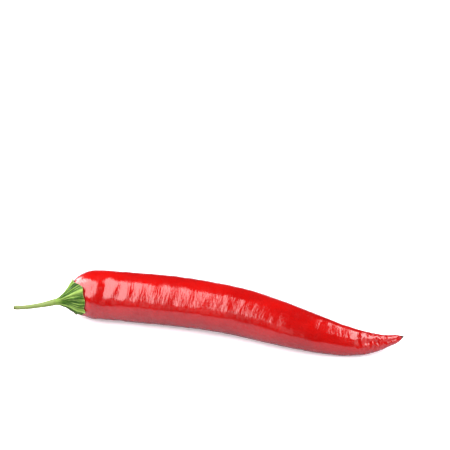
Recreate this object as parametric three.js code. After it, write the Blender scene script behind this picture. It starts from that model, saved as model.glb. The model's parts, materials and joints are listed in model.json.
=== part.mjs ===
// A long red chilli pepper lying on a surface: pod, calyx and cut stem.
//
// Millimetres, +Z up. +X runs from the cut end of the stem to the tip of the pod. The origin is
// under the middle of the chilli, on the surface that it lies on.
//
// Every piece is drawn straight first. A point of it has a station (its distance from the cut end
// of the stem), a radius and an angle round the middle line. One bend then lays all the pieces
// along the same curved middle line, so they stay seated on each other.

import * as THREE from "three";
import { LoftGeometry } from "three/addons/geometries/LoftGeometry.js";

// Stem
const STEM_LENGTH = 17;
const CUT_DIAMETER = 1.4;
const NECK_DIAMETER = 2.4;
const STEM_RIDGE = 0.06; // share of its radius
const STEM_RIDGES = 5;
const CUT_HEIGHT = 6; // the cut end's middle above the surface

// Calyx: the green cap over the pod's shoulder
const CALYX_LENGTH = 6.5; // from the neck to the edge between the teeth, on its short side
const CALYX_DIAMETER = 11.8; // at the end of the flare
const CALYX_WALL = 0.6;
const CALYX_EDGE = 0.3; // the wall's thickness at its edge
const CALYX_LOBE = 4.6; // how much further the cap reaches on its long side
const LOBE_ANGLE = 158;
const TOOTH_COUNT = 6;
const TOOTH_LENGTH = 0.7;
const TOOTH_ANGLE = 10;
const RIB_HEIGHT = 0.2;
const FLARE_POWER = 1.85;

// Pod
const POD_LENGTH = 138.2;
const POD_DIAMETER = 19.4;
const SHOULDER_LENGTH = 11.5;
const TIP_DIAMETER = 1;
const TAPER_START_POWER = 4.2;
const TAPER_END_POWER = 1.15;
const TIP_ROUNDING = 40;
const TIP_LIFT = 3; // the tip's underside above the surface
const LIFT_START = 0.78; // share of the pod's length
const POD_DEPTH = 5; // from the neck to the pod's top, inside the calyx

// Between touching pieces
const CLEARANCE = 0.3;

// The bend seen from above: [share of the length, degrees turned towards +Y]
const STEM_BEND = [[0, 1], [0.5, 12], [1, 15]];
const POD_BEND = [
  [0.02, 20], [0.1, 1], [0.25, -3], [0.45, -10], [0.57, -16],
  [0.65, -16], [0.74, -9], [0.83, 1], [0.92, 24], [1, 43],
];

// Facets
const POD_SIDES = 32;
const CALYX_SIDES = 48;
const STEM_SIDES = 20;
const SHOULDER_RINGS = 14;
const TAPER_RINGS = 54;
const CALYX_RINGS = 14;
const STEM_RINGS = 16;
const SPINE_STEP = 0.25;

const POD_START = STEM_LENGTH + POD_DEPTH;
const POD_END = POD_START + POD_LENGTH;
const SHOULDER_END = POD_START + SHOULDER_LENGTH;

const rad = THREE.MathUtils.degToRad;

// 1 at each of `count` directions round the middle line, 0 half way between them.
function crest(angle, count, first, sharpness) {
  return ((1 + Math.cos(count * (angle - rad(first)))) / 2) ** sharpness;
}

// The pod isn't quite round: slightly oval, with three faint lobes.
function podOutline(angle) {
  return 1 + 0.018 * Math.cos(2 * (angle - rad(15))) + 0.014 * Math.cos(3 * (angle - rad(50)));
}

// The pod's radius, or that of a surface a little way outside its shoulder.
function podRadius(station, outside = 0) {
  const radius = POD_DIAMETER / 2;
  if (station < SHOULDER_END) {
    const x = Math.min(1, (SHOULDER_END - station) / (SHOULDER_LENGTH + outside));
    return (radius + outside) * Math.sqrt(1 - x * x);
  }
  const y = (station - SHOULDER_END) / (POD_END - SHOULDER_END);
  const tip = TIP_DIAMETER / 2;
  const taper = (radius - tip) * (1 - y ** TAPER_START_POWER) ** TAPER_END_POWER;
  return taper + tip * Math.sqrt(1 - y ** TIP_ROUNDING) + outside;
}

function stemRadius(station) {
  const share = station / STEM_LENGTH;
  return THREE.MathUtils.lerp(CUT_DIAMETER, NECK_DIAMETER, share ** 2.2) / 2;
}

// The station of the calyx's edge: longer on one side, with a tooth at the end of each rib.
function calyxEdge(angle) {
  const lobe = CALYX_LOBE * crest(angle, 1, LOBE_ANGLE, 3);
  const tooth = TOOTH_LENGTH * crest(angle, TOOTH_COUNT, TOOTH_ANGLE, 3);
  return STEM_LENGTH + CALYX_LENGTH + lobe + tooth;
}

// A slender flare that runs out on to the pod's shoulder. `share` is 0 at the neck, 1 at the edge.
function calyxOutside(station, angle, share) {
  const out = Math.min(1, (station - STEM_LENGTH) / CALYX_LENGTH);
  const flare = THREE.MathUtils.lerp(NECK_DIAMETER, CALYX_DIAMETER, out ** FLARE_POWER) / 2;
  const wall = THREE.MathUtils.lerp(CALYX_WALL, CALYX_EDGE, share ** 2);
  const cap = podRadius(station, CLEARANCE + wall) * podOutline(angle);
  const rib = RIB_HEIGHT * crest(angle, TOOTH_COUNT, TOOTH_ANGLE, 2) * Math.min(1, 3 * share);
  return Math.max(flare, cap) + rib;
}

// How far the pod reaches below its middle line.
function podUnderside(station) {
  const angles = Array.from({ length: POD_SIDES }, (_, i) => (i * 2 * Math.PI) / POD_SIDES);
  return podRadius(station) * Math.max(...angles.map((a) => -podOutline(a) * Math.sin(a)));
}

// The middle line's height: the pod lies on the surface, and its two ends rise clear of it.
function spineHeight(station) {
  if (station < SHOULDER_END) {
    const rise = THREE.MathUtils.smoothstep(station, 0, SHOULDER_END);
    return THREE.MathUtils.lerp(CUT_HEIGHT, podUnderside(SHOULDER_END), rise);
  }
  const lifted = (station - POD_START) / POD_LENGTH - LIFT_START;
  return podUnderside(station) + TIP_LIFT * (Math.max(0, lifted) / (1 - LIFT_START)) ** 2;
}

function makeHeading() {
  const bends = [
    ...STEM_BEND.map(([share, turn]) => [share * STEM_LENGTH, turn]),
    ...POD_BEND.map(([share, turn]) => [POD_START + share * POD_LENGTH, turn]),
  ];
  const stations = bends.map(([station]) => station);
  const turns = bends.map(([, turn]) => rad(turn));
  return new THREE.CubicInterpolant(stations, turns, 1);
}

// Middle line seen from above, walked in small steps so that its length is true.
function makeSpine() {
  const heading = makeHeading();
  const points = [new THREE.Vector2()];
  const steps = Math.ceil(POD_END / SPINE_STEP);
  for (let i = 0; i < steps; i += 1) {
    const [turn] = heading.evaluate((i + 0.5) * SPINE_STEP);
    const step = new THREE.Vector2(Math.cos(turn), Math.sin(turn)).multiplyScalar(SPINE_STEP);
    points.push(points[i].clone().add(step));
  }
  return { heading, points };
}

const spine = makeSpine();

// Straight piece to bent piece: station along, radius and angle round the middle line.
function bend(station, radius, angle) {
  const steps = Math.min(station / SPINE_STEP, spine.points.length - 1.001);
  const first = Math.floor(steps);
  const middle = spine.points[first].clone().lerp(spine.points[first + 1], steps - first);
  const [turn] = spine.heading.evaluate(station);
  const across = radius * Math.cos(angle);
  return new THREE.Vector3(
    middle.x - across * Math.sin(turn),
    middle.y + across * Math.cos(turn),
    spineHeight(station) + radius * Math.sin(angle),
  );
}

// A closed skin through rings. Each ring is a function from an angle to [station, radius].
function skin(rings, sides) {
  const sections = rings.map((ring) =>
    Array.from({ length: sides }, (_, i) => {
      const angle = (i * 2 * Math.PI) / sides;
      const [station, radius] = ring(angle);
      return bend(station, radius, angle);
    }),
  );
  return new LoftGeometry(sections, { capStart: false, capEnd: false });
}

function shares(count) {
  return Array.from({ length: count }, (_, i) => (i + 1) / count);
}

function point(station) {
  return () => [station, 0];
}

function makePod() {
  const ring = (station) => (angle) => [station, podRadius(station) * podOutline(angle)];
  const shoulder = shares(SHOULDER_RINGS).map(
    (t) => SHOULDER_END - SHOULDER_LENGTH * Math.cos((t * Math.PI) / 2),
  );
  const taper = shares(TAPER_RINGS - 1).map(
    (t) => SHOULDER_END + (POD_END - SHOULDER_END) * Math.sin((t * Math.PI) / 2) ** 0.9,
  );
  const stations = [...shoulder, ...taper.slice(0, -1)];
  return skin([point(POD_START), ...stations.map(ring), point(POD_END)], POD_SIDES);
}

function makeCalyx() {
  const top = POD_START - CLEARANCE;
  const outside = [0, ...shares(CALYX_RINGS)].map((t) => (angle) => {
    const station = THREE.MathUtils.lerp(STEM_LENGTH, calyxEdge(angle), t);
    return [station, calyxOutside(station, angle, t)];
  });
  const inside = shares(CALYX_RINGS).reverse().map((t) => (angle) => {
    const station = THREE.MathUtils.lerp(top, calyxEdge(angle), t ** 1.6);
    return [station, podRadius(station, CLEARANCE) * podOutline(angle)];
  });
  return skin([point(STEM_LENGTH), ...outside, ...inside, point(top)], CALYX_SIDES);
}

function makeStem() {
  const end = STEM_LENGTH - CLEARANCE;
  const rings = [0, ...shares(STEM_RINGS)].map((t) => (angle) => {
    const ridge = 1 - STEM_RIDGE * (1 - crest(angle, STEM_RIDGES, 0, 1));
    return [t * end, stemRadius(t * end) * ridge];
  });
  return skin([point(0), ...rings, point(end)], STEM_SIDES);
}

function makeMesh(name, geometry, color, roughness) {
  const material = new THREE.MeshStandardMaterial({ color, roughness, metalness: 0 });
  const mesh = new THREE.Mesh(geometry, material);
  mesh.name = name;
  return mesh;
}

// Turns the chilli so that its two ends lie along X, and puts the origin under its middle.
function place(chilli) {
  const tip = bend(POD_END, 0, 0);
  const cut = bend(0, 0, 0);
  chilli.rotation.z = -Math.atan2(tip.y - cut.y, tip.x - cut.x);
  const box = new THREE.Box3().setFromObject(chilli, true);
  const middle = box.getCenter(new THREE.Vector3());
  chilli.position.set(-middle.x, -middle.y, -box.min.z);
}

const chilli = new THREE.Group();
chilli.name = "chilli_pepper";
chilli.add(
  makeMesh("pod", makePod(), 0xd8120c, 0.22),
  makeMesh("calyx", makeCalyx(), 0x5a9632, 0.55),
  makeMesh("stem", makeStem(), 0x96b450, 0.6),
);
place(chilli);

export default chilli;
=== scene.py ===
"""A long red chilli pepper lying on a white studio floor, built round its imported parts.

Every piece is modelled straight first, along +X, with its distance from the stem's cut end as x.
There it is sculpted. Then one bend lays it along the curved middle line that is traced from the
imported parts, so that all the pieces stay seated on each other.

Lengths are in metres and angles in radians, unless a docstring says otherwise.
"""

import json
import logging
import math
from dataclasses import dataclass, field
from enum import Enum

import bmesh
import bpy
import numpy as np
from mathutils import Matrix, Vector, noise
from mathutils.bvhtree import BVHTree

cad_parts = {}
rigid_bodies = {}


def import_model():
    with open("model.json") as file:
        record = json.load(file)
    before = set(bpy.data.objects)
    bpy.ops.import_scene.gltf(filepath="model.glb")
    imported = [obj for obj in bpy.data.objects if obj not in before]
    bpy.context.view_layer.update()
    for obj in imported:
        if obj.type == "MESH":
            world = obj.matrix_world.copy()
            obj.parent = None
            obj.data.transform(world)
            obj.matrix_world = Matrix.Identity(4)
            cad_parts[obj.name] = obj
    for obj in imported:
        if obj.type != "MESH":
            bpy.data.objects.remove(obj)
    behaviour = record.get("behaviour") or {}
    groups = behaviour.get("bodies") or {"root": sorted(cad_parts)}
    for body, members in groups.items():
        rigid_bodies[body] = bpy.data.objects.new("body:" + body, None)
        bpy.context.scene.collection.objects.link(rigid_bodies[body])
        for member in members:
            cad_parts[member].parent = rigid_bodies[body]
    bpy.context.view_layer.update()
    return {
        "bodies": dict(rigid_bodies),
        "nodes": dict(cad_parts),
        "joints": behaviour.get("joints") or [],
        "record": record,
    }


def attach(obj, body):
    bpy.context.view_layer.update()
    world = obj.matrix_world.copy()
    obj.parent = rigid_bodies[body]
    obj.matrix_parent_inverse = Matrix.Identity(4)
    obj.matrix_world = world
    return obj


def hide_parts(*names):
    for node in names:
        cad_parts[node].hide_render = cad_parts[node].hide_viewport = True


LOG = logging.getLogger("chilli")
MM = 0.001
BODY = "root"
GRAIN = "grain"  # the attribute with the place that a pattern is read at
RELIEF = "relief"  # the attribute that marks what is raised or faded, from 0 to 1
EDGE = "edge"  # the attribute that marks rims, tips and cut ends, from 0 to 1

Ring = list[tuple[float, float]]  # each point's station and radius
Span = tuple[float, float]  # where something starts, and where it is complete


class Node(str, Enum):
    """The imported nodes."""

    POD = "pod"
    CALYX = "calyx"
    STEM = "stem"


class Slot(str, Enum):
    """The record's material slots."""

    POD = "pod_skin"
    CALYX = "calyx_green"
    STEM = "stem_green"


# ---------------------------------------------------------------------------------------------
# Numbers over many points
# ---------------------------------------------------------------------------------------------


def smooth_step(low: float, high: float, value: np.ndarray) -> np.ndarray:
    """Rises smoothly from 0 at low to 1 at high.

    Args:
        low: Where the rise starts.
        high: Where the rise ends.
        value: The points to work out.

    Returns:
        An array like value, from 0 to 1.
    """
    t = np.clip((value - low) / (high - low), 0.0, 1.0)
    return t * t * (3.0 - 2.0 * t)


def bell(value: np.ndarray, middle: float, width: float) -> np.ndarray:
    """A bump of height 1 round a middle value, with width as its half width at 37%."""
    return np.exp(-(((value - middle) / width) ** 2))


def turn_between(angle: np.ndarray, other: float) -> np.ndarray:
    """The signed turn from one direction to each angle, from -pi to pi."""
    return (angle - other + math.pi) % (2.0 * math.pi) - math.pi


def at_least(least: float, share: np.ndarray) -> np.ndarray:
    """Moves shares from 0 to 1 so that they run from least to 1."""
    return least + (1.0 - least) * share


def angles_of(straight: np.ndarray) -> np.ndarray:
    """The direction of each point round the middle line."""
    return np.arctan2(straight[:, 2], straight[:, 1])


def near_line(straight: np.ndarray, radius: float) -> np.ndarray:
    """A share that is 0 on the middle line and 1 from a radius outwards."""
    return np.minimum(1.0, np.hypot(straight[:, 1], straight[:, 2]) / radius)


@dataclass(frozen=True)
class Ripple:
    """An uneven relief with its own grain along and across a straight piece.

    Attributes:
        height: The relief's half height.
        along: The grain's length along the piece.
        across: The grain's length round the piece.
        place: Where in the noise it is taken, so that two reliefs differ.
    """

    height: float
    along: float
    across: float
    place: float = 0.0

    def over(self, straight: np.ndarray) -> np.ndarray:
        """Works out the relief at each point.

        Args:
            straight: Points of the straight piece, n by 3.

        Returns:
            n heights.
        """
        grain = straight / np.array((self.along, self.across, self.across)) + self.place
        return self.height * np.array([noise.noise(point) for point in grain.tolist()])


@dataclass(frozen=True)
class Hollow:
    """A shallow dent, or a low swelling, at one place of a straight piece.

    Attributes:
        station: The distance of its middle from the stem's cut end.
        angle: Its middle's direction round the middle line.
        length: Its half length along the piece.
        turn: Its half width round the piece.
        depth: Its depth, which is below 0 for a swelling.
    """

    station: float
    angle: float
    length: float
    turn: float
    depth: float

    def over(self, straight: np.ndarray) -> np.ndarray:
        """Works out the relief at each point.

        Args:
            straight: Points of the straight piece, n by 3.

        Returns:
            n heights.
        """
        aside = turn_between(angles_of(straight), self.angle)
        along = bell(straight[:, 0], self.station, self.length)
        return -self.depth * along * bell(aside, 0.0, self.turn)


# ---------------------------------------------------------------------------------------------
# The frame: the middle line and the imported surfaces, straightened
# ---------------------------------------------------------------------------------------------


def corners(node: bpy.types.Object) -> np.ndarray:
    """Reads the corners of a node's triangles.

    Args:
        node: A node or a piece.

    Returns:
        The corners, n by 3.
    """
    found = np.empty(len(node.data.vertices) * 3)
    node.data.vertices.foreach_get("co", found)
    return found.reshape(-1, 3)


def node_edges(node: bpy.types.Object) -> np.ndarray:
    """Reads the two ends of each of a node's edges.

    Args:
        node: The node.

    Returns:
        The ends, n by 2 by 3.
    """
    ends = np.empty(len(node.data.edges) * 2, int)
    node.data.edges.foreach_get("vertices", ends)
    return corners(node)[ends.reshape(-1, 2)]


@dataclass
class MiddleLine:
    """The chilli's curved middle line, from the stem's cut end to the pod's tip.

    Attributes:
        samples: How many points the line keeps.
        passes: How often the cuts are turned square to the line and made again.
        softness: How many samples the line is evened out over.
        widest: How far from the line a cross-section may reach.
        fewest: How many edges a cut has to cross for its middle to count.
        end_samples: How many samples give the line's direction at its ends.
        end_slack: How far behind the last corner others still belong to the end.
        points: The line's points, n by 3.
        stations: Each point's distance from the cut end, measured in plan.
        turns: The line's direction in plan at each point from +X.
    """

    samples: int = 400
    passes: int = 4
    softness: float = 8.0
    widest: float = 20 * MM
    fewest: int = 8
    end_samples: int = 6
    end_slack: float = 0.02 * MM
    points: np.ndarray = field(default=None, repr=False)
    stations: np.ndarray = field(default=None, repr=False)
    turns: np.ndarray = field(default=None, repr=False)

    def trace(self, nodes: list[bpy.types.Object]) -> "MiddleLine":
        """Finds the middle of the nodes' cross-sections, square to the line.

        Args:
            nodes: The nodes that the line runs through, which don't overlap along X.

        Returns:
            The line itself.
        """
        edges = np.concatenate([node_edges(node) for node in nodes])
        low, high = edges.reshape(-1, 3).min(0), edges.reshape(-1, 3).max(0)
        share = np.linspace(0.0, 1.0, self.samples)[:, None]
        middle = (low + high) / 2.0
        middle[0] = 0.0
        self.points = middle + share * np.array((high[0] - low[0], 0.0, 0.0))
        self.points[:, 0] += low[0]
        self._measure()
        for _ in range(self.passes):
            self._recentre(edges)
            self._end_on(edges)
            self._even_out()
            self._measure()
        return self

    def _measure(self) -> None:
        """Spaces the points evenly in plan, and works out their stations and turns."""
        steps = np.hypot(*np.diff(self.points[:, :2], axis=0).T)
        walked = np.concatenate([[0.0], np.cumsum(steps)])
        self.stations = np.linspace(0.0, walked[-1], self.samples)
        self.points = np.stack(
            [np.interp(self.stations, walked, self.points[:, axis]) for axis in range(3)], axis=1
        )
        run = np.gradient(self.points[:, :2], self.stations, axis=0)
        self.turns = np.arctan2(run[:, 1], run[:, 0])

    def _recentre(self, edges: np.ndarray) -> None:
        """Moves each point to the middle of its own cross-section.

        Args:
            edges: The ends of the nodes' edges, n by 2 by 3.
        """
        found = np.full((self.samples, 2), np.nan)
        for i in range(1, self.samples - 1):
            ahead = np.array((math.cos(self.turns[i]), math.sin(self.turns[i]), 0.0))
            beside = np.array((-ahead[1], ahead[0], 0.0))
            reach = (edges - self.points[i]) @ ahead
            crossed = edges[(reach[:, 0] < 0.0) != (reach[:, 1] < 0.0)]
            if len(crossed) < self.fewest:
                continue
            reach = (crossed - self.points[i]) @ ahead
            part = (reach[:, 0] / (reach[:, 0] - reach[:, 1]))[:, None]
            cut = crossed[:, 0] + part * (crossed[:, 1] - crossed[:, 0]) - self.points[i]
            cut = cut[np.hypot(cut[:, 0], cut[:, 1]) < self.widest]
            aside, up = cut @ beside, cut[:, 2]
            found[i] = (aside.min() + aside.max()) / 2.0, (up.min() + up.max()) / 2.0
        known = ~np.isnan(found[:, 0])
        index = np.arange(self.samples)
        for axis in range(2):
            found[:, axis] = np.interp(index, index[known], found[known, axis])
        beside = np.stack([-np.sin(self.turns), np.cos(self.turns)], axis=1)
        self.points[:, :2] += beside * found[:, :1]
        self.points[:, 2] += found[:, 1]

    def _end_on(self, edges: np.ndarray) -> None:
        """Puts the line's two ends on the middles of the nodes' farthest faces or points.

        Args:
            edges: The ends of the nodes' edges, n by 2 by 3.
        """
        for end, inner in ((0, self.end_samples), (-1, -1 - self.end_samples)):
            ahead = self.points[end] - self.points[inner]
            ahead[2] = 0.0
            ahead /= np.linalg.norm(ahead)
            reach = edges.reshape(-1, 3) @ ahead
            last = edges.reshape(-1, 3)[reach > reach.max() - self.end_slack]
            self.points[end] = (last.min(0) + last.max(0)) / 2.0

    def _even_out(self) -> None:
        """Takes the facets' small steps out of the line, with its ends held."""
        reach = int(3 * self.softness)
        bump = np.exp(-0.5 * (np.arange(-reach, reach + 1) / self.softness) ** 2)
        bump /= bump.sum()
        first, last = self.points[0], self.points[-1]
        before = 2.0 * first - self.points[reach:0:-1]
        after = 2.0 * last - self.points[-2 : -2 - reach : -1]
        whole = np.concatenate([before, self.points, after])
        self.points = np.stack(
            [np.convolve(whole[:, axis], bump, mode="valid") for axis in range(3)], axis=1
        )

    def bend(self, straight: np.ndarray) -> np.ndarray:
        """Lays a straight piece's points along the line.

        Args:
            straight: n by 3: station, left of the line and above it.

        Returns:
            The same points in the row's frame, n by 3.
        """
        base = [np.interp(straight[:, 0], self.stations, self.points[:, i]) for i in range(3)]
        turn = np.interp(straight[:, 0], self.stations, self.turns)
        return np.stack(
            [
                base[0] - straight[:, 1] * np.sin(turn),
                base[1] + straight[:, 1] * np.cos(turn),
                base[2] + straight[:, 2],
            ],
            axis=1,
        )

    def straighten(self, points: np.ndarray) -> np.ndarray:
        """Takes the bend out of points near the line.

        Args:
            points: Points in the row's frame, n by 3.

        Returns:
            The same points as bend takes them, n by 3.
        """
        gaps = points[:, None, :2] - self.points[None, :, :2]
        index = (gaps**2).sum(2).argmin(1)
        turn = self.turns[index]
        gap = points - self.points[index]
        ahead = gap[:, 0] * np.cos(turn) + gap[:, 1] * np.sin(turn)
        aside = -gap[:, 0] * np.sin(turn) + gap[:, 1] * np.cos(turn)
        station = self.stations[index] + ahead
        height = points[:, 2] - np.interp(station, self.stations, self.points[:, 2])
        return np.stack([station, aside, height], axis=1)


class StraightNode:
    """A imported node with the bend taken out, so that its surface can be measured.

    Attributes:
        start: The station at which it starts.
        end: The station at which it ends.
        reach: A distance from the middle line that is outside it all round.
    """

    HALVINGS = 16  # finds an edge within a thousandth of a millimetre

    def __init__(self, node: bpy.types.Object, line: MiddleLine) -> None:
        """Straightens a copy of the node's surface.

        Args:
            node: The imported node.
            line: The chilli's middle line.
        """
        points = line.straighten(corners(node))
        faces = [tuple(face.vertices) for face in node.data.polygons]
        self.start, self.end = float(points[:, 0].min()), float(points[:, 0].max())
        self.reach = 2.0 * float(np.abs(points[:, 1:]).max())
        self._tree = BVHTree.FromPolygons(points.tolist(), faces, epsilon=0.001 * MM)

    def radius(self, station: float, angle: float) -> float:
        """How far the node's outer surface is from the middle line.

        Args:
            station: The distance from the stem's cut end.
            angle: The direction round the line, 0 to its left and a quarter turn up.

        Returns:
            The radius in metres, or 0 where the node has no surface.
        """
        out = Vector((0.0, math.cos(angle), math.sin(angle)))
        start = Vector((station, 0.0, 0.0)) + out * self.reach
        hit = self._tree.ray_cast(start, -out, self.reach)[0]
        return math.hypot(hit.y, hit.z) if hit else 0.0

    def edge(self, angle: float, start: float) -> float:
        """The last station at which the node has a surface in one direction.

        Args:
            angle: The direction round the line.
            start: A station inside the node.

        Returns:
            The station of its edge.
        """
        low, high = start, self.end + MM
        for _ in range(self.HALVINGS):
            middle = (low + high) / 2.0
            if self.radius(middle, angle) > 0.0:
                low = middle
            else:
                high = middle
        return low


# ---------------------------------------------------------------------------------------------
# Straight tubes, sculpted and bent
# ---------------------------------------------------------------------------------------------


def fanned(straight: np.ndarray, radius: float) -> np.ndarray:
    """The points moved in or out to one radius, so that a pattern fans out where a piece flares."""
    angle = angles_of(straight)
    return np.stack([straight[:, 0], radius * np.cos(angle), radius * np.sin(angle)], axis=1)


def grow(straight: np.ndarray, heights: np.ndarray) -> np.ndarray:
    """Moves each point away from the middle line.

    Args:
        straight: Points of a straight piece, n by 3.
        heights: How far each one moves.

    Returns:
        The moved points, n by 3.
    """
    angle = angles_of(straight)
    moved = straight.copy()
    moved[:, 1] += heights * np.cos(angle)
    moved[:, 2] += heights * np.sin(angle)
    return moved


@dataclass
class Tube:
    """A closed tube along +X that is drawn out of a circle, ring by ring.

    Attributes:
        name: The piece's name.
        sides: How many points a ring has.
        levels: How often the finished cage is subdivided.
        thinnest: The radius of a ring before it is closed on its pole.
    """

    name: str
    sides: int
    levels: int
    thinnest: float = 0.001 * MM

    def angles(self) -> list[float]:
        """The directions of a ring's points."""
        return [2.0 * math.pi * i / self.sides for i in range(self.sides)]

    def draw(self, rings: list[Ring]) -> bpy.types.Object:
        """Extrudes a circle through the rings, closes both ends and subdivides.

        Args:
            rings: The rings in order. The first and the last each close on a point of the
                middle line.

        Returns:
            The straight piece, linked to the scene.
        """
        cage = bmesh.new()
        made = bmesh.ops.create_circle(cage, segments=self.sides, radius=1.0)
        upright = Matrix(((0, 0, 1), (1, 0, 0), (0, 1, 0)))
        bmesh.ops.transform(cage, matrix=upright.to_4x4(), verts=made["verts"])
        ring = sorted(made["verts"], key=lambda v: math.atan2(v.co.z, v.co.y) % (2.0 * math.pi))
        poles = []
        for i, places in enumerate(rings):
            if i:
                ring = self._extrude(cage, ring)
            for vert, (station, radius), angle in zip(ring, places, self.angles()):
                across = max(radius, self.thinnest)
                vert.co = station, across * math.cos(angle), across * math.sin(angle)
            if i in (0, len(rings) - 1):
                poles.append((ring, Vector((places[0][0], 0.0, 0.0))))
        for pole_ring, pole in poles:
            bmesh.ops.pointmerge(cage, verts=pole_ring, merge_co=pole)
        bmesh.ops.recalc_face_normals(cage, faces=cage.faces)
        mesh = bpy.data.meshes.new(self.name)
        cage.to_mesh(mesh)
        cage.free()
        return self._subdivide(mesh)

    def _extrude(self, cage: bmesh.types.BMesh, ring: list) -> list:
        """Draws the next ring out of the last one.

        Args:
            cage: The cage so far.
            ring: The last ring's points, in order.

        Returns:
            The next ring's points, in the same order.
        """
        edges = [cage.edges.get((a, b)) for a, b in zip(ring, ring[1:] + ring[:1])]
        made = bmesh.ops.extrude_edge_only(cage, edges=edges)["geom"]
        fresh = {v for v in made if isinstance(v, bmesh.types.BMVert)}
        paired = []
        for vert in ring:
            paired.append(next(v for e in vert.link_edges for v in e.verts if v in fresh))
        return paired

    def _subdivide(self, mesh: bpy.types.Mesh) -> bpy.types.Object:
        """Makes the cage a smooth fine mesh.

        Args:
            mesh: The cage.

        Returns:
            The piece, linked to the scene.
        """
        piece = bpy.data.objects.new(self.name, mesh)
        bpy.context.scene.collection.objects.link(piece)
        modifier = piece.modifiers.new("smooth", "SUBSURF")
        modifier.levels = modifier.render_levels = self.levels
        bpy.context.view_layer.update()
        graph = bpy.context.evaluated_depsgraph_get()
        fine = bpy.data.meshes.new_from_object(piece.evaluated_get(graph))
        piece.modifiers.clear()
        piece.data = fine
        fine.name = self.name
        fine.polygons.foreach_set("use_smooth", [True] * len(fine.polygons))
        return piece


def mark(piece: bpy.types.Object, name: str, values: np.ndarray) -> None:
    """Stores a number or a place for each point of a piece, for its material to read.

    Args:
        piece: The piece.
        name: The attribute's name.
        values: One number or three per point.
    """
    kind, key = ("FLOAT", "value") if values.ndim == 1 else ("FLOAT_VECTOR", "vector")
    made = piece.data.attributes.new(name, kind, "POINT")
    made.data.foreach_set(key, np.asarray(values, np.float32).ravel())


def settle(piece: bpy.types.Object, straight: np.ndarray, line: MiddleLine) -> None:
    """Bends a sculpted piece, with nothing below the floor.

    Args:
        piece: The piece.
        straight: Its sculpted points, still straight.
        line: The chilli's middle line.
    """
    bent = line.bend(straight)
    bent[:, 2] = np.maximum(bent[:, 2], 0.0)
    piece.data.vertices.foreach_set("co", bent.astype(np.float32).ravel())
    piece.data.update()


# ---------------------------------------------------------------------------------------------
# Shader nodes
# ---------------------------------------------------------------------------------------------

Socket = bpy.types.NodeSocket
Colour = tuple[float, float, float, float]
BLACK: Colour = (0.0, 0.0, 0.0, 1.0)
WHITE: Colour = (1.0, 1.0, 1.0, 1.0)
NOISE_SPREAD = (0.3, 0.7)  # where nearly all of a noise texture's values lie
MIX_SHARE, MIX_A, MIX_B, MIXED = 0, 6, 7, 2  # a Mix node's colour sockets, whose names repeat


class Tree:
    """Adds nodes to a material or a node group, and links them as they are added."""

    def __init__(self, tree: bpy.types.NodeTree) -> None:
        """Empties a node tree and writes to it."""
        self.tree = tree
        tree.nodes.clear()

    def node(self, kind: str, inputs: dict | None = None, **settings: object) -> bpy.types.Node:
        """Adds one node.

        Args:
            kind: The node's type, without the words ShaderNode.
            inputs: Values or sockets for its inputs, by name or number.
            **settings: The node's own settings.

        Returns:
            The node.
        """
        made = self.tree.nodes.new(kind if kind.startswith("Node") else "ShaderNode" + kind)
        for name, value in settings.items():
            setattr(made, name, value)
        for name, value in (inputs or {}).items():
            self.set(made.inputs[name], value)
        return made

    def set(self, socket: Socket, value: object) -> None:
        """Gives an input its value.

        Args:
            socket: The input.
            value: A value, or a socket to link to it.
        """
        if isinstance(value, bpy.types.NodeSocket):
            self.tree.links.new(value, socket)
        else:
            socket.default_value = value

    def attribute(self, name: str, output: str = "Fac") -> Socket:
        """A piece's attribute."""
        return self.node("Attribute", attribute_name=name).outputs[output]

    def maths(self, operation: str, a: object, b: object) -> Socket:
        """One operation on two numbers or sockets."""
        return self.node("Math", {0: a, 1: b}, operation=operation).outputs[0]

    def remap(
        self, value: object, low: object, high: object, to: tuple[object, object] = (0.0, 1.0)
    ) -> Socket:
        """Moves a number smoothly from one range to another.

        Args:
            value: The number.
            low: Where the first range starts.
            high: Where the first range ends.
            to: The start and the end of the second range.

        Returns:
            The moved number.
        """
        inputs = {"Value": value, "From Min": low, "From Max": high, "To Min": to[0], "To Max": to[1]}
        return self.node("MapRange", inputs, interpolation_type="SMOOTHSTEP").outputs[0]

    def mix(self, share: object, a: object, b: object) -> Socket:
        """Mixes two colours."""
        inputs = {MIX_SHARE: share, MIX_A: a, MIX_B: b}
        return self.node("Mix", data_type="RGBA", inputs=inputs).outputs[MIXED]

    def grain(self, place: object, along: float, across: float) -> Socket:
        """Noise with its own grain along and across a straight piece.

        Args:
            place: The place that it is read at.
            along: A grain's length.
            across: Its width.

        Returns:
            A value from 0 to 1.
        """
        scale = (1.0 / along, 1.0 / across, 1.0 / across)
        moved = self.node("Mapping", {"Vector": place, "Scale": scale}).outputs[0]
        inputs = {"Vector": moved, "Scale": 1.0, "Detail": 2.0, "Roughness": 0.55}
        return self.node("TexNoise", inputs).outputs[0]


def make_group(
    name: str, takes: dict[str, str], gives: dict[str, str]
) -> tuple[Tree, dict[str, Socket], dict[str, Socket]]:
    """Starts a node group with named inputs and outputs.

    Args:
        name: The group's name.
        takes: Its inputs' names and socket types.
        gives: Its outputs' names and socket types.

    Returns:
        The tree, and inside it what the group takes and what it has to be given to put out.
    """
    group = bpy.data.node_groups.new(name, "ShaderNodeTree")
    tree = Tree(group)
    for direction, sockets in (("INPUT", takes), ("OUTPUT", gives)):
        for socket, kind in sockets.items():
            group.interface.new_socket(socket, in_out=direction, socket_type="NodeSocket" + kind)
    taken = dict(tree.node("NodeGroupInput").outputs.items())
    given = dict(tree.node("NodeGroupOutput").inputs.items())
    return tree, taken, given


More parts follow.
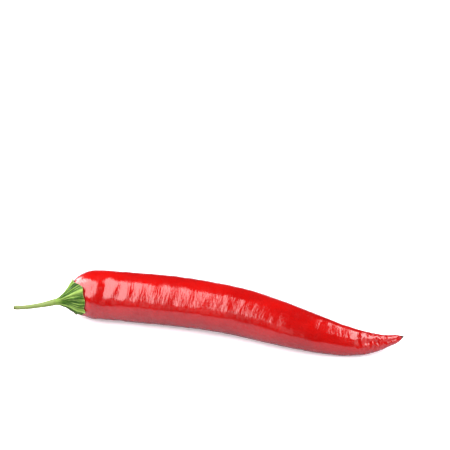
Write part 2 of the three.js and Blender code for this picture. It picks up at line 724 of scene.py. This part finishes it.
@dataclass
class SharedEffects:
    """The node groups that more than one material uses.

    Attributes:
        mottle: Patches of a second colour over a first.
        fibres: Fine relief, drawn out along or across a piece.
    """

    mottle: bpy.types.NodeTree | None = None
    fibres: bpy.types.NodeTree | None = None

    def build(self) -> "SharedEffects":
        """Makes the groups once.

        Returns:
            Itself, with the groups.
        """
        self.mottle = self._make_mottle()
        self.fibres = self._make_fibres()
        return self

    def _make_mottle(self) -> bpy.types.NodeTree:
        """Two colours in soft patches, with a share of the second and how crisp they are.

        Returns:
            The group.
        """
        takes = {"Place": "Vector", "Size": "Vector", "First": "Color", "Second": "Color"}
        takes |= {"Share": "Float", "Softness": "Float"}
        tree, taken, given = make_group("mottle", takes, {"Colour": "Color"})
        place = tree.node("VectorMath", {0: taken["Place"], 1: taken["Size"]}, operation="DIVIDE")
        inputs = {"Vector": place.outputs[0], "Scale": 1.0, "Detail": 3.0, "Roughness": 0.6}
        patches = tree.node("TexNoise", inputs).outputs[0]
        start = tree.maths("SUBTRACT", 1.0, taken["Share"])
        low = tree.maths("SUBTRACT", start, taken["Softness"])
        high = tree.maths("ADD", start, taken["Softness"])
        mask = tree.remap(patches, low, high)
        tree.set(given["Colour"], tree.mix(mask, taken["First"], taken["Second"]))
        return tree.tree

    def _make_fibres(self) -> bpy.types.NodeTree:
        """A relief from 0 to 1 with a coarse and a fine grain of one direction.

        Returns:
            The group.
        """
        takes = {"Place": "Vector", "Size": "Vector", "Fine": "Float"}
        tree, taken, given = make_group("fibres", takes, {"Height": "Float"})
        place = tree.node("VectorMath", {0: taken["Place"], 1: taken["Size"]}, operation="DIVIDE")
        coarse = {"Vector": place.outputs[0], "Scale": 1.0, "Detail": 1.0}
        fine = {"Vector": place.outputs[0], "Scale": 3.7, "Detail": 2.0}
        first = tree.node("TexNoise", coarse).outputs[0]
        second = tree.node("TexNoise", fine).outputs[0]
        height = tree.maths("ADD", first, tree.maths("MULTIPLY", second, taken["Fine"]))
        tree.set(given["Height"], height)
        return tree.tree


def group_node(tree: Tree, group: bpy.types.NodeTree, inputs: dict) -> bpy.types.Node:
    """Places a shared effect in a material with its own values.

    Args:
        tree: The material's tree.
        group: The effect.
        inputs: Values or sockets for the effect's inputs, by name.

    Returns:
        The node that stands for the effect.
    """
    made = tree.tree.nodes.new("ShaderNodeGroup")
    made.node_tree = group
    for name, value in inputs.items():
        tree.set(made.inputs[name], value)
    return made


def new_material(name: str) -> tuple[bpy.types.Material, Tree]:
    """Makes an empty node material.

    Args:
        name: Its name.

    Returns:
        The material and its tree.
    """
    material = bpy.data.materials.new(name)
    material.use_nodes = True
    return material, Tree(material.node_tree)


def finish_material(tree: Tree, shader: bpy.types.Node) -> None:
    """Links a shader to the material's surface."""
    tree.node("OutputMaterial", {"Surface": shader.outputs[0]})


@dataclass(frozen=True)
class Patches:
    """Soft patches of a second colour.

    Attributes:
        length: A patch's length along the piece.
        width: Its width round the piece.
        share: Roughly how much of the piece has the second colour.
        softness: How gradually one colour becomes the other.
    """

    length: float
    width: float
    share: float
    softness: float

    def over(self, tree: Tree, effects: SharedEffects, first: object, second: Colour) -> Socket:
        """Lays the patches over a colour.

        Args:
            tree: The material's tree.
            effects: The shared node groups.
            first: The colour, or a socket that gives it.
            second: The patches' colour.

        Returns:
            The mottled colour.
        """
        size = (self.length, self.width, self.width)
        inputs = {"Place": tree.attribute(GRAIN, "Vector"), "Size": size, "First": first}
        inputs |= {"Second": second, "Share": self.share, "Softness": self.softness}
        return group_node(tree, effects.mottle, inputs).outputs["Colour"]


@dataclass(frozen=True)
class Sheen:
    """How a skin shines, and the fine lines that break its highlights up.

    Attributes:
        patch: The length and the width of a glossier or duller patch.
        roughness: The roughness of the glossiest and of the dullest patches.
        line: The length and the width of a line.
        finer: How much of a finer grain the lines have.
        relief: The lines' height.
        fixed: The shader's other numbers, which are the same all over the skin.
    """

    patch: tuple[float, float]
    roughness: tuple[float, float]
    line: tuple[float, float]
    finer: float
    relief: float
    fixed: tuple[tuple[str, float], ...]

    def finish(self, tree: Tree, effects: SharedEffects, colour: Socket) -> None:
        """Adds the skin's shader and links it to the material's surface.

        Args:
            tree: The material's tree.
            effects: The shared node groups.
            colour: The skin's colour.
        """
        place = tree.attribute(GRAIN, "Vector")
        rough = tree.remap(tree.grain(place, *self.patch), *NOISE_SPREAD, self.roughness)
        length, width = self.line
        lines = {"Place": place, "Size": (length, width, width), "Fine": self.finer}
        height = group_node(tree, effects.fibres, lines).outputs["Height"]
        bump = tree.node("Bump", {"Height": height, "Distance": self.relief, "Strength": 1.0})
        inputs = {"Base Color": colour, "Roughness": rough, "Normal": bump.outputs[0]}
        finish_material(tree, tree.node("BsdfPrincipled", inputs | dict(self.fixed)))


@dataclass(frozen=True)
class RedSkin:
    """The pod's taut, waxy, glossy skin: two reds in patches, and a dry scar at the tip."""

    red: Colour = (0.275, 0.0013, 0.0008, 1.0)
    deep: Colour = (0.22, 0.0007, 0.0006, 1.0)
    scar: Colour = (0.035, 0.022, 0.016, 1.0)
    blotches: Patches = Patches(14 * MM, 7 * MM, 0.45, 0.2)
    sheen: Sheen = Sheen(
        (3 * MM, 3 * MM), (0.12, 0.2), (0.6 * MM, 2.6 * MM), 0.15, 0.08 * MM, (("IOR", 1.5),)
    )

    def build(self, effects: SharedEffects) -> bpy.types.Material:
        """Makes the material.

        Args:
            effects: The shared node groups.

        Returns:
            The material.
        """
        material, tree = new_material("red_skin")
        base = self.blotches.over(tree, effects, self.red, self.deep)
        colour = tree.mix(tree.attribute(EDGE), base, self.scar)
        self.sheen.finish(tree, effects, colour)
        return material


@dataclass(frozen=True)
class CapGreen:
    """The calyx: a leafy green with pale veins and ribs, dark patches and a thin dry edge."""

    leaf: Colour = (0.026, 0.07, 0.002, 1.0)
    shade: Colour = (0.012, 0.038, 0.001, 1.0)
    vein: Colour = (0.18, 0.27, 0.055, 1.0)
    rib: Colour = (0.2, 0.3, 0.06, 1.0)
    rim: Colour = (0.24, 0.25, 0.1, 1.0)
    shades: Patches = Patches(2.2 * MM, 1.1 * MM, 0.52, 0.1)
    veins: Patches = Patches(9 * MM, 0.34 * MM, 0.4, 0.07)
    sheen: Sheen = Sheen(
        (1.5 * MM, 0.8 * MM),
        (0.42, 0.62),
        (5 * MM, 0.45 * MM),
        0.2,
        0.35 * MM,
        (("Specular IOR Level", 0.1),),
    )

    def build(self, effects: SharedEffects) -> bpy.types.Material:
        """Makes the material.

        Args:
            effects: The shared node groups.

        Returns:
            The material.
        """
        material, tree = new_material("cap_green")
        leaf = self.shades.over(tree, effects, self.leaf, self.shade)
        veined = self.veins.over(tree, effects, leaf, self.vein)
        ribbed = tree.mix(tree.attribute(RELIEF), veined, self.rib)
        colour = tree.mix(tree.attribute(EDGE), ribbed, self.rim)
        self.sheen.finish(tree, effects, colour)
        return material


@dataclass(frozen=True)
class StalkGreen:
    """The stem: a pale yellow-green with lengthwise fibres, which fades towards its cut end."""

    pale: Colour = (0.12, 0.145, 0.046, 1.0)
    fresh: Colour = (0.13, 0.2, 0.035, 1.0)
    pith: Colour = (0.17, 0.18, 0.09, 1.0)
    streaks: Patches = Patches(4 * MM, 0.7 * MM, 0.5, 0.2)
    sheen: Sheen = Sheen(
        (2 * MM, 0.8 * MM),
        (0.35, 0.5),
        (3 * MM, 0.3 * MM),
        0.4,
        0.06 * MM,
        (("Specular IOR Level", 0.2),),
    )

    def build(self, effects: SharedEffects) -> bpy.types.Material:
        """Makes the material.

        Args:
            effects: The shared node groups.

        Returns:
            The material.
        """
        material, tree = new_material("stalk_green")
        streaked = self.streaks.over(tree, effects, self.pale, self.fresh)
        faded = tree.mix(tree.attribute(RELIEF), streaked, self.pale)
        colour = tree.mix(tree.attribute(EDGE), faded, self.pith)
        self.sheen.finish(tree, effects, colour)
        return material


@dataclass(frozen=True)
class WhiteFloor:
    """A plain white studio floor with a faint sheen, and a painted glow in its shadows.

    Attributes:
        white: Its colour as the camera sees it: white where lit, and a painted pink tint in its
            shadows.
        mirrored: Its darker colour as it lights the chilli and shows in its skin.
        glow: The light that it adds to itself near the chilli, for the camera only.
        far_glow: The same light far away, where the soft boxes don't reach.
        fade: The distances from the chilli between which the glow changes.
        roughness: How blurred its sheen is.
    """

    white: Colour = (0.98, 0.91, 0.96, 1.0)
    mirrored: Colour = (0.5, 0.47, 0.54, 1.0)
    glow: Colour = (0.2156, 0.2002, 0.2112, 1.0)
    far_glow: Colour = (0.6, 0.6, 0.6, 1.0)
    fade: tuple[float, float] = (0.3, 1.2)
    roughness: float = 0.5

    def build(self) -> bpy.types.Material:
        """Makes the material.

        Returns:
            The material.
        """
        material, tree = new_material("white_floor")
        seen = tree.node("LightPath").outputs["Is Camera Ray"]
        place = tree.node("NewGeometry").outputs["Position"]
        away = tree.node("VectorMath", {0: place}, operation="LENGTH").outputs["Value"]
        glow = tree.mix(tree.remap(away, *self.fade), self.glow, self.far_glow)
        # For the camera only, the floor is lighter, pink-tinted and glowing: painted light that lifts
        # its shadows.
        inputs = {"Base Color": tree.mix(seen, self.mirrored, self.white)}
        inputs |= {"Emission Color": tree.mix(seen, BLACK, glow), "Emission Strength": 1.0}
        inputs |= {"Roughness": self.roughness}
        finish_material(tree, tree.node("BsdfPrincipled", inputs))
        return material


# ---------------------------------------------------------------------------------------------
# The chilli
# ---------------------------------------------------------------------------------------------


@dataclass
class PodSkin:
    """The red pod: a long tapering skin with a folded shoulder, wrinkles and a creased tip.

    Attributes:
        rings: How many rings its cage has.
        shoulder_rings: How many of them the shoulder has.
        crowding: The power that spaces the others: the lower, the closer they are at the tip.
        sides: How many points a ring has.
        levels: How often the cage is subdivided.
        shoulder: The length over which the rings start close together.
        undulation: The slow swell of the whole pod.
        fullness: How much it stands out all round.
        folds: Folds round the shoulder.
        fold_middle: Where they are deepest, from the pod's start.
        fold_reach: How far from there they fade.
        least_folds: The share of them that runs along the rest of the pod.
        calm_side: The direction in which they are faintest.
        calm_turn: How far round they stay faint.
        calm: The share of them that is taken away there.
        hollows: Single dents and swellings.
        dents: Small dents along the whole pod.
        wrinkles: Fine crosswise wrinkles, which come in patches.
        patches: The patches.
        patch_edge: The values between which a patch starts.
        least_wrinkles: The share of the wrinkles outside the patches.
        tip_shares: The shares of the pod's length between which the tip's relief grows.
        tip_lumps: Lumps near the tip, mostly beside the crease.
        lump_turn: How far from the crease they reach.
        least_lumps: The share of them elsewhere.
        crease_angle: The crease's direction round the tip.
        crease_turn: Its half width.
        crease_depth: Its depth.
        tip_swell: How much the tip swells just before its point.
        swell_middle: Where, from the point.
        swell_reach: How far from there.
        scar_length: The length of the dry point.
        full_relief: The radius from which the relief has its full height.
    """

    rings: int = 56
    shoulder_rings: int = 11
    crowding: float = 0.95
    sides: int = 26
    levels: int = 3
    shoulder: float = 12 * MM
    undulation: Ripple = Ripple(0.26 * MM, 22 * MM, 11 * MM, 3.1)
    fullness: float = 0.22 * MM
    folds: Ripple = Ripple(0.4 * MM, 3.4 * MM, 6 * MM, 7.7)
    fold_middle: float = 10 * MM
    fold_reach: float = 16 * MM
    least_folds: float = 0.12
    calm_side: float = math.radians(54)
    calm_turn: float = 0.5
    calm: float = 0.7
    hollows: tuple[Hollow, ...] = (
        Hollow(33.0 * MM, math.radians(116), 4.0 * MM, 0.36, -0.4 * MM),
        Hollow(37.7 * MM, math.radians(118), 1.9 * MM, 0.55, 0.5 * MM),
        Hollow(102.0 * MM, math.radians(165), 9.0 * MM, 0.45, 0.3 * MM),
        Hollow(57.0 * MM, math.radians(167), 17.0 * MM, 0.42, -0.45 * MM),
        Hollow(37.0 * MM, math.radians(290), 4.0 * MM, 0.5, 0.4 * MM),
        Hollow(52.0 * MM, math.radians(20), 3.0 * MM, 0.5, 0.3 * MM),
    )
    dents: Ripple = Ripple(0.13 * MM, 3.0 * MM, 6 * MM, 13.9)
    wrinkles: Ripple = Ripple(0.06 * MM, 0.8 * MM, 3.2 * MM, 11.3)
    patches: Ripple = Ripple(1.0, 14 * MM, 9 * MM, 17.9)
    patch_edge: tuple[float, float] = (-0.3, 0.3)
    least_wrinkles: float = 0.4
    tip_shares: tuple[float, float] = (0.82, 0.91)
    tip_lumps: Ripple = Ripple(0.9 * MM, 1.3 * MM, 1.8 * MM, 23.2)
    lump_turn: float = 0.7
    least_lumps: float = 0.25
    crease_angle: float = math.radians(146)
    crease_turn: float = 0.26
    crease_depth: float = 0.75 * MM
    tip_swell: float = 1.6 * MM
    swell_middle: float = 3 * MM
    swell_reach: float = 2.6 * MM
    scar_length: float = 2.6 * MM
    full_relief: float = 5 * MM

    def stations(self, packed: StraightNode) -> list[float]:
        """The rings' stations: close together on the shoulder and at the tip.

        Args:
            packed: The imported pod, straightened.

        Returns:
            The stations, without those of the two poles.
        """
        quarter = math.pi / 2
        made = [
            packed.start + self.shoulder * (1.0 - math.cos(quarter * i / self.shoulder_rings))
            for i in range(1, self.shoulder_rings)
        ]
        body = packed.end - packed.start - self.shoulder
        rest = self.rings - self.shoulder_rings
        for i in range(rest):
            share = math.sin(quarter * i / rest) ** self.crowding
            made.append(packed.start + self.shoulder + body * share)
        return made

    def build(self, packed: StraightNode, line: MiddleLine) -> bpy.types.Object:
        """Models, sculpts and bends the pod.

        Args:
            packed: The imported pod, straightened.
            line: The chilli's middle line.

        Returns:
            The piece.
        """
        tube = Tube("pod_skin", self.sides, self.levels)
        # Subdivision draws a ring in by this much, so the cage is drawn that much wider.
        plump = 3.0 / (2.0 + math.cos(2.0 * math.pi / self.sides))
        rings = [[(packed.start, 0.0)] * self.sides]
        for station in self.stations(packed):
            radii = [plump * packed.radius(station, angle) for angle in tube.angles()]
            rings.append([(station, radius) for radius in radii])
        rings.append([(packed.end, 0.0)] * self.sides)
        piece = tube.draw(rings)
        straight = corners(piece)
        to_point = packed.end - straight[:, 0]
        mark(piece, GRAIN, straight)
        mark(piece, EDGE, 1.0 - smooth_step(self.scar_length / 2, self.scar_length, to_point))
        settle(piece, self.sculpt(straight, packed), line)
        return piece

    def sculpt(self, straight: np.ndarray, packed: StraightNode) -> np.ndarray:
        """Adds the relief of a real skin to the smooth pod.

        Args:
            straight: The smooth pod's points, n by 3.
            packed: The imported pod, straightened.

        Returns:
            The sculpted points, n by 3.
        """
        station, angle = straight[:, 0], angles_of(straight)
        share = (station - packed.start) / (packed.end - packed.start)
        near_shoulder = bell(station, packed.start + self.fold_middle, self.fold_reach)
        calm = self.calm * bell(turn_between(angle, self.calm_side), 0.0, self.calm_turn)
        patchy = smooth_step(*self.patch_edge, self.patches.over(straight))
        near_tip = smooth_step(*self.tip_shares, share)
        aside = turn_between(angle, self.crease_angle)
        by_crease = bell(aside, 0.0, self.lump_turn)
        height = self.undulation.over(straight) + self.fullness
        height += self.folds.over(straight) * at_least(self.least_folds, near_shoulder) * (1.0 - calm)
        height += self.dents.over(straight)
        for hollow in self.hollows:
            height += hollow.over(straight)
        height += self.wrinkles.over(straight) * at_least(self.least_wrinkles, patchy)
        height += self.tip_lumps.over(straight) * near_tip * at_least(self.least_lumps, by_crease)
        height -= self.crease_depth * bell(aside, 0.0, self.crease_turn) * near_tip
        height += self.tip_swell * bell(station, packed.end - self.swell_middle, self.swell_reach)
        return grow(straight, height * near_line(straight, self.full_relief))


@dataclass
class CalyxCap:
    """The green cap: a ribbed flare with a thin toothed edge that sits on the pod's shoulder.

    A span runs from the share of the cap's length, from neck to edge, at which something starts
    to the share at which it is complete.

    Attributes:
        sides: How many points a ring has.
        levels: How often the cage is subdivided.
        outer_rings: How many steps its outside has.
        inner_rings: How many rings its inside has.
        inner_share: How far the inside runs back from the edge, as a share of the length.
        edge_search: A distance from the neck at which the cap has its surface all round.
        inset: How far the first and the last ring keep from the ends.
        wall: The thickness of its wall.
        least_radius: The least radius of its inside.
        fan_radius: The radius at which its patterns are read.
        ribs: How many ribs it has.
        first_rib: The first one's direction.
        rib_height: Their height.
        sharpness: How narrow they are.
        rib_span: Their span.
        grooves: Fine lengthwise grooves.
        groove_span: Their span.
        lumps: Unevenness near the edge.
        lump_span: Its span.
        curl: How far the edge turns up.
        curl_span: The span of that.
        collar: How much the neck stands out to meet the stem.
        collar_reach: How far it does so.
        reach: How far the neck moves over the stem.
        reach_span: The span over which that fades.
        waves: The uneven line of the edge.
        wave_span: Its span.
        neck_pale: How pale the neck is, from 0 to 1.
        pale_span: The span over which that fades.
        rim: The distances from the edge between which its dry rim fades.
    """

    sides: int = 60
    levels: int = 2
    outer_rings: int = 16
    inner_rings: int = 8
    inner_share: float = 0.45
    edge_search: float = 5 * MM
    inset: float = 0.05 * MM
    wall: float = 0.32 * MM
    least_radius: float = 0.6 * MM
    fan_radius: float = 4 * MM
    ribs: int = 6
    first_rib: float = math.radians(10)
    rib_height: float = 0.5 * MM
    sharpness: float = 16.0
    rib_span: Span = (0.05, 0.4)
    grooves: Ripple = Ripple(0.8 * MM, 12 * MM, 0.75 * MM, 9.1)
    groove_span: Span = (0.05, 0.5)
    lumps: Ripple = Ripple(0.6 * MM, 2.2 * MM, 1.5 * MM, 2.4)
    lump_span: Span = (0.4, 0.9)
    curl: float = 0.1 * MM
    curl_span: Span = (0.85, 1.0)
    collar: float = 0.24 * MM
    collar_reach: float = 3.2 * MM
    reach: float = 0.35 * MM
    reach_span: Span = (0.0, 0.1)
    waves: Ripple = Ripple(1.1 * MM, 6 * MM, 1.2 * MM, 5.3)
    wave_span: Span = (0.7, 1.0)
    neck_pale: float = 0.6
    pale_span: Span = (0.05, 0.25)
    rim: Span = (0.05 * MM, 0.3 * MM)

    def build(self, packed: StraightNode, line: MiddleLine) -> bpy.types.Object:
        """Models, sculpts and bends the cap.

        Args:
            packed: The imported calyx, straightened.
            line: The chilli's middle line.

        Returns:
            The piece.
        """
        tube = Tube("calyx_cap", self.sides, self.levels)
        edges = [packed.edge(angle, packed.start + self.edge_search) for angle in tube.angles()]
        piece = tube.draw(self.rings(packed, tube, edges))
        straight = corners(piece)
        turn = angles_of(straight)
        whole_turn = 2.0 * math.pi
        edge = np.interp(turn % whole_turn, tube.angles() + [whole_turn], edges + edges[:1])
        share = (straight[:, 0] - packed.start) / (edge - packed.start)
        grain = fanned(straight, self.fan_radius)
        crest = ((1 + np.cos(self.ribs * (turn - self.first_rib))) / 2) ** self.sharpness
        neck = self.neck_pale * (1.0 - smooth_step(*self.pale_span, share))
        mark(piece, GRAIN, grain)
        mark(piece, RELIEF, np.maximum(crest, neck))
        mark(piece, EDGE, 1.0 - smooth_step(*self.rim, edge - straight[:, 0]))
        height = self.rib_height * crest * smooth_step(*self.rib_span, share)
        height += self.grooves.over(grain) * smooth_step(*self.groove_span, share)
        height += self.lumps.over(grain) * smooth_step(*self.lump_span, share)
        height += self.curl * smooth_step(*self.curl_span, share)
        height += self.collar * bell(straight[:, 0], packed.start, self.collar_reach)
        shaped = grow(straight, height)
        shaped[:, 0] += self.waves.over(grain) * smooth_step(*self.wave_span, share)
        shaped[:, 0] -= self.reach * (1.0 - smooth_step(*self.reach_span, share))
        settle(piece, shaped, line)
        return piece

    def rings(self, packed: StraightNode, tube: Tube, edges: list[float]) -> list[Ring]:
        """The cage: out along the flare, over the thin edge and back inside.

        Args:
            packed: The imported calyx, straightened.
            tube: The tube to draw.
            edges: The station of the cap's edge in each of the tube's directions.

        Returns:
            The rings' stations and radii.
        """

        def ring(share: float, lead: float, wall: float) -> Ring:
            """One ring of the cage.

            Args:
                share: Its share of the way from the neck to the edge.
                lead: How much farther along it lies.
                wall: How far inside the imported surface.

            Returns:
                Its stations and radii.
            """
            made = []
            for angle, edge in zip(tube.angles(), edges):
                run = edge - packed.start - 2.0 * self.inset
                station = packed.start + lead + run * share
                radius = packed.radius(station, angle) - wall
                made.append((station, max(radius, self.least_radius)))
            return made

        steps = range(self.outer_rings + 1)
        outer = [ring(i / self.outer_rings, self.inset, 0.0) for i in steps]
        back = [self.inner_share * i / self.inner_rings for i in range(self.inner_rings)]
        inner = [ring(1.0 - share, 0.0, self.wall) for share in back]
        first = [(packed.start, 0.0)] * self.sides
        last = [(inner[-1][0][0], 0.0)] * self.sides
        return [first, *outer, *inner, last]


@dataclass
class Stalk:
    """The stem: a thin ridged stalk that is cut square at its free end.

    Attributes:
        sides: How many points a ring has.
        levels: How often the cage is subdivided.
        rings: How many steps its length has.
        fan_radius: The radius at which its patterns are read.
        overlap: How far it runs on inside the cap.
        overlap_fade: The distances past the neck between which its relief ends.
        cut_search: The distance from the cut at which the cut's radius is measured.
        cut_depth: How far the middle of the cut is sunk.
        cut_rings: The cut's rings: the share of its radius, and of its depth.
        insets: How far the first and the last ring keep from the ends.
        fullness: How much it stands out all round.
        collar: How much more it does at the neck.
        collar_reach: How far from the neck.
        knob: How much more it does at the cut.
        knob_reach: How far from the cut.
        ridges: Its lengthwise ridges.
        bends: Its unevenness.
        calm_ends: How far from the cut and from the neck these two fade.
        full_relief: The radius from which the relief has its full height.
        cut_pale: How pale it is at the cut, from 0 to 1.
        rim: The distances from the cut between which the pith's colour ends.
    """

    sides: int = 20
    levels: int = 2
    rings: int = 30
    fan_radius: float = 1.2 * MM
    overlap: float = 1.6 * MM
    overlap_fade: Span = (0.2 * MM, 1.2 * MM)
    cut_search: float = 0.3 * MM
    cut_depth: float = 0.1 * MM
    cut_rings: tuple[tuple[float, float], ...] = ((0.55, 1.0), (0.85, 0.3), (0.97, 0.0))
    insets: tuple[float, float] = (0.06 * MM, 0.04 * MM)
    fullness: float = 0.2 * MM
    collar: float = 0.08 * MM
    collar_reach: float = 4.5 * MM
    knob: float = 0.1 * MM
    knob_reach: float = 4 * MM
    ridges: Ripple = Ripple(0.07 * MM, 9 * MM, 0.7 * MM, 4.4)
    bends: Ripple = Ripple(0.08 * MM, 4 * MM, 3 * MM, 6.6)
    calm_ends: tuple[float, float] = (1.0 * MM, 3.0 * MM)
    full_relief: float = 0.5 * MM
    cut_pale: float = 0.8
    rim: Span = (0.02 * MM, 0.15 * MM)

    def build(self, packed: StraightNode, line: MiddleLine) -> bpy.types.Object:
        """Models, sculpts and bends the stalk.

        Args:
            packed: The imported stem, straightened.
            line: The chilli's middle line.

        Returns:
            The piece.
        """
        tube = Tube("stalk", self.sides, self.levels)
        piece = tube.draw(self.cage(packed, tube))
        straight = corners(piece)
        grain = fanned(straight, self.fan_radius)
        from_cut = straight[:, 0] - packed.start
        past_neck = straight[:, 0] - packed.end
        mark(piece, GRAIN, grain)
        mark(piece, EDGE, 1.0 - smooth_step(*self.rim, from_cut))
        faded = 1.0 - smooth_step(0.0, packed.end - packed.start, from_cut)
        mark(piece, RELIEF, self.cut_pale * faded)
        body = smooth_step(0.0, self.calm_ends[0], from_cut)
        body *= 1.0 - smooth_step(-self.calm_ends[1], 0.0, past_neck)
        height = (self.ridges.over(grain) + self.bends.over(grain)) * body
        height += self.fullness + self.collar * bell(past_neck, 0.0, self.collar_reach)
        height += self.knob * bell(from_cut, 0.0, self.knob_reach)
        height *= near_line(straight, self.full_relief)
        height *= 1.0 - smooth_step(*self.overlap_fade, past_neck)
        settle(piece, grow(straight, height), line)
        return piece

    def cage(self, packed: StraightNode, tube: Tube) -> list[Ring]:
        """The cage: out over the cut, along the stem and into the cap.

        Args:
            packed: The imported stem, straightened.
            tube: The tube to draw.

        Returns:
            The rings' stations and radii.
        """
        start, length = packed.start, packed.end - packed.start
        cut_radius = packed.radius(start + self.cut_search, 0.0)
        rings = [[(start + self.cut_depth, 0.0)] * self.sides]
        for share, depth in self.cut_rings:
            rings.append([(start + self.cut_depth * depth, cut_radius * share)] * self.sides)
        for i in range(self.rings + 1):
            station = start + self.insets[0] + (length - sum(self.insets)) * i / self.rings
            rings.append([(station, packed.radius(station, angle)) for angle in tube.angles()])
        rings.append([(packed.end + self.overlap, radius) for _, radius in rings[-1]])
        rings.append([(packed.end + self.overlap, 0.0)] * self.sides)
        return rings


class Chilli:
    """The whole chilli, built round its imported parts."""

    def __init__(self, frame: dict) -> None:
        """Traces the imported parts.

        Args:
            frame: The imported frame, as it is loaded.
        """
        self.nodes = frame["nodes"]
        self.line = MiddleLine().trace([self.nodes[Node.STEM.value], self.nodes[Node.POD.value]])
        self.effects = SharedEffects().build()

    def packed(self, node: Node) -> StraightNode:
        """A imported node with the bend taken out."""
        return StraightNode(self.nodes[node.value], self.line)

    def build(self) -> None:
        """Makes and dresses every piece, attaches it and hides the node that it stands for."""
        plans = (
            (PodSkin(), RedSkin(), Node.POD, Slot.POD),
            (CalyxCap(), CapGreen(), Node.CALYX, Slot.CALYX),
            (Stalk(), StalkGreen(), Node.STEM, Slot.STEM),
        )
        for plan, finish, node, slot in plans:
            piece = plan.build(self.packed(node), self.line)
            piece.data.materials.append(finish.build(self.effects))
            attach(piece, BODY)
            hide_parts(node.value)
            LOG.info("%s: %d faces", piece.name, len(piece.data.polygons))


# ---------------------------------------------------------------------------------------------
# The studio
# ---------------------------------------------------------------------------------------------


@dataclass(frozen=True)
class SoftBox:
    """One rectangular soft light that faces the chilli.

    Attributes:
        name: Its name.
        towards: The direction from the chilli to it.
        length: Its long side.
        width: Its short side.
        long_side: The direction that its long side runs in, roughly.
        distance: How far away it stands.
        radiance: How bright its face is, where 1 is a fully lit white.
        mirrored: Whether glossy skins show it.
    """

    name: str
    towards: tuple[float, float, float]
    length: float
    width: float
    long_side: tuple[float, float, float]
    distance: float
    radiance: float
    mirrored: bool = True

    def build(self) -> None:
        """Makes the light."""
        light = bpy.data.lights.new(self.name, "AREA")
        light.shape = "RECTANGLE"
        light.size, light.size_y = self.length, self.width
        light.energy = math.pi * self.length * self.width * self.radiance
        box = bpy.data.objects.new(self.name, light)
        away = Vector(self.towards).normalized()
        along = Vector(self.long_side)
        along = (along - along.dot(away) * away).normalized()
        turned = Matrix((along, away.cross(along), away)).transposed().to_4x4()
        box.matrix_world = Matrix.Translation(away * self.distance) @ turned
        box.visible_camera = False
        box.visible_glossy = self.mirrored
        bpy.context.scene.collection.objects.link(box)


@dataclass
class Studio:
    """A white floor, soft boxes round the chilli, a dim room and the camera.

    Attributes:
        boxes: The soft boxes.
        floor_size: The floor's side.
        room: How bright the room is where it lights a matt surface.
        gloss: How bright it is where a glossy skin mirrors it.
        backdrop: How bright it is behind the floor.
        azimuth: How far the camera stands to the right of the chilli's side, in degrees.
        elevation: How far above, in degrees.
        distance: How far away it stands.
        lens: Its focal length, in millimetres.
        target_height: The height of the point that it turns round.
        aim_right: How far to the right of that point it looks.
        aim_up: How far above that point it looks.
    """

    boxes: tuple[SoftBox, ...] = (
        SoftBox("left_box", (-0.653, -0.163, 0.74), 0.33, 0.243, (0.18, 0.92, 0.36), 0.24, 7.4),
        SoftBox("right_box", (0.65, 0.22, 0.73), 0.85, 0.28, (-0.09, 0.97, -0.21), 0.69, 8.4),
        SoftBox("front_strip", (-0.25, -0.9, 0.34), 0.36, 0.1, (0.0, 0.34, 0.9), 0.8, 1.6),
        SoftBox("right_card", (0.86, -0.36, 0.34), 0.36, 0.36, (0.0, 0.3, 0.9), 0.6, 1.2),
        SoftBox("tip_fill", (0.8, -0.45, 0.4), 0.1, 0.1, (0.0, 0.3, 0.9), 0.2, 7.0, False),
        SoftBox("back_box", (-0.78, 0.53, 0.33), 0.55, 0.25, (-0.1, -0.5, 0.5), 0.8, 9.0),
    )
    floor_size: float = 8.0
    room: float = 0.5
    gloss: float = 0.06
    backdrop: float = 0.93
    azimuth: float = 6.5
    elevation: float = 35.8
    distance: float = 0.6
    lens: float = 121.2
    target_height: float = 8 * MM
    aim_right: float = 7.3 * MM
    aim_up: float = 34.8 * MM

    def build(self) -> None:
        """Makes the whole studio."""
        self._build_floor()
        for box in self.boxes:
            box.build()
        self._build_room()
        self._build_camera()
        bpy.context.scene.view_settings.view_transform = "Standard"

    def _build_floor(self) -> None:
        """A plain white floor under the chilli."""
        mesh = bpy.data.meshes.new("floor")
        sheet = bmesh.new()
        bmesh.ops.create_grid(sheet, x_segments=1, y_segments=1, size=self.floor_size / 2.0)
        sheet.to_mesh(mesh)
        sheet.free()
        floor = bpy.data.objects.new("floor", mesh)
        bpy.context.scene.collection.objects.link(floor)
        mesh.materials.append(WhiteFloor().build())

    def _build_room(self) -> None:
        """A room that is dim in glossy skins and a pale backdrop behind the floor."""
        world = bpy.data.worlds.new("room")
        bpy.context.scene.world = world
        world.use_nodes = True
        tree = Tree(world.node_tree)
        ray = tree.node("LightPath").outputs
        level = tree.remap(ray["Is Glossy Ray"], 0.0, 1.0, (self.room, self.gloss))
        level = tree.remap(ray["Is Camera Ray"], 0.0, 1.0, (level, self.backdrop))
        lit = tree.node("Background", {"Color": WHITE, "Strength": level})
        tree.node("OutputWorld", {"Surface": lit.outputs[0]})

    def _build_camera(self) -> None:
        """The camera, which looks down on the chilli from its side."""
        lens = bpy.data.cameras.new("camera")
        lens.lens = self.lens
        lens.clip_start = 10 * MM
        camera = bpy.data.objects.new("camera", lens)
        bpy.context.scene.collection.objects.link(camera)
        bpy.context.scene.camera = camera
        turn, tilt = math.radians(self.azimuth), math.radians(self.elevation)
        back = Vector(
            (math.sin(turn) * math.cos(tilt), -math.cos(turn) * math.cos(tilt), math.sin(tilt))
        )
        right = Vector((math.cos(turn), math.sin(turn), 0.0))
        up = back.cross(right)
        target = Vector((0.0, 0.0, self.target_height))
        aim = target + right * self.aim_right + up * self.aim_up
        camera.location = target + back * self.distance
        camera.rotation_euler = (aim - camera.location).to_track_quat("-Z", "Y").to_euler()


def main() -> None:
    """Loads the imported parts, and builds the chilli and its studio."""
    logging.basicConfig(level=logging.INFO, format="%(name)s: %(message)s")
    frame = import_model()
    Studio().build()
    Chilli(frame).build()


if __name__ == "__main__":
    main()
